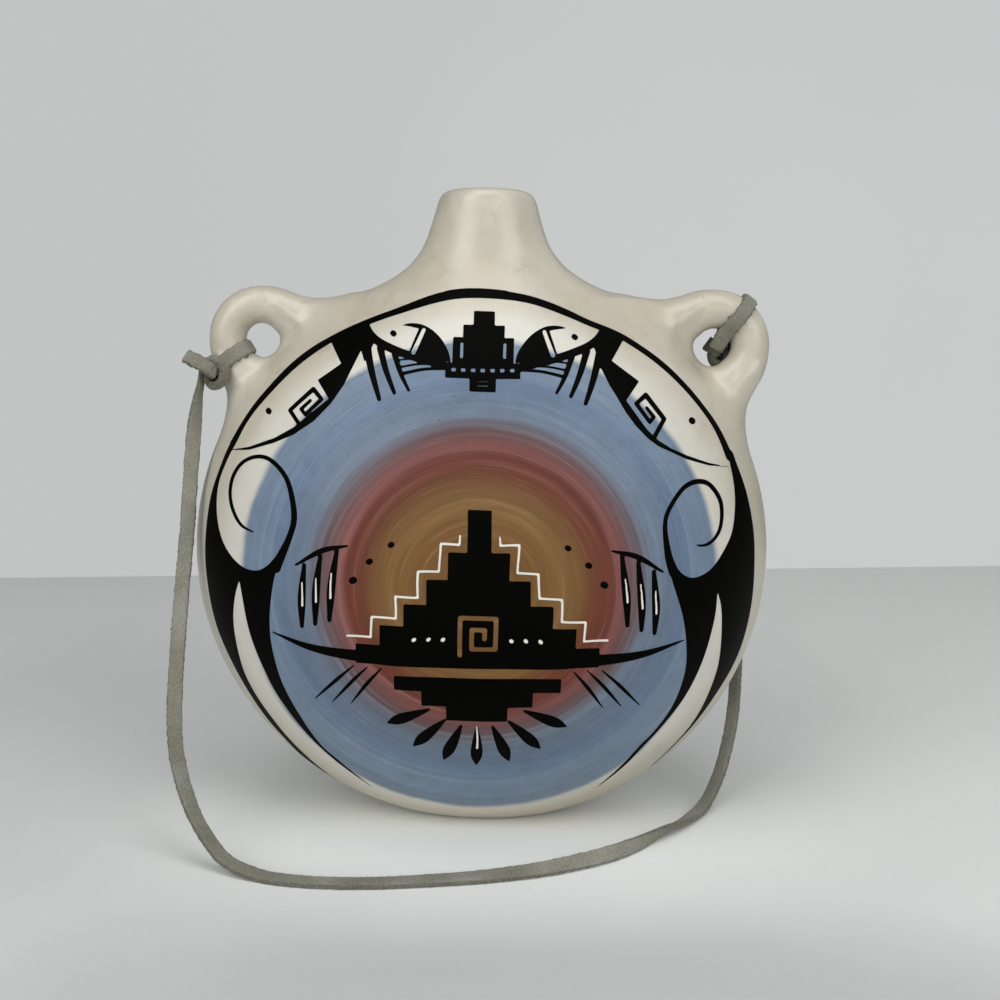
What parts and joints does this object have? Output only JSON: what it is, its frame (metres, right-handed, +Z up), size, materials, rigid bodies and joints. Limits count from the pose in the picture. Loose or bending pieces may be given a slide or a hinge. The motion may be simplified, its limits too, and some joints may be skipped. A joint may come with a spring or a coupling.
{
  "type": "clay canteen",
  "caption": "Round flat-sided clay canteen with a flared neck, a coil ear on each shoulder and a suede lace tied between the ears.",
  "frame": {"origin": "middle of the foot, on the surface that the canteen stands on", "axes": "+Z up through the neck, the painted front faces -Y, +X to the viewer's right"},
  "size_m": [0.152, 0.0879, 0.164],
  "materials": {
    "slip_clay": "burnished cream slip with painted bands",
    "suede": "fuzzy suede"
  },
  "bodies": {
    "root": {"front_shell": "slip_clay", "back_shell": "slip_clay", "neck": "slip_clay", "left_ear": "slip_clay", "right_ear": "slip_clay", "lace": "suede", "left_hitch": "suede", "left_knot": "suede", "left_tail": "suede", "right_hitch": "suede", "right_knot": "suede", "right_tail": "suede"}
  },
  "joints": []
}
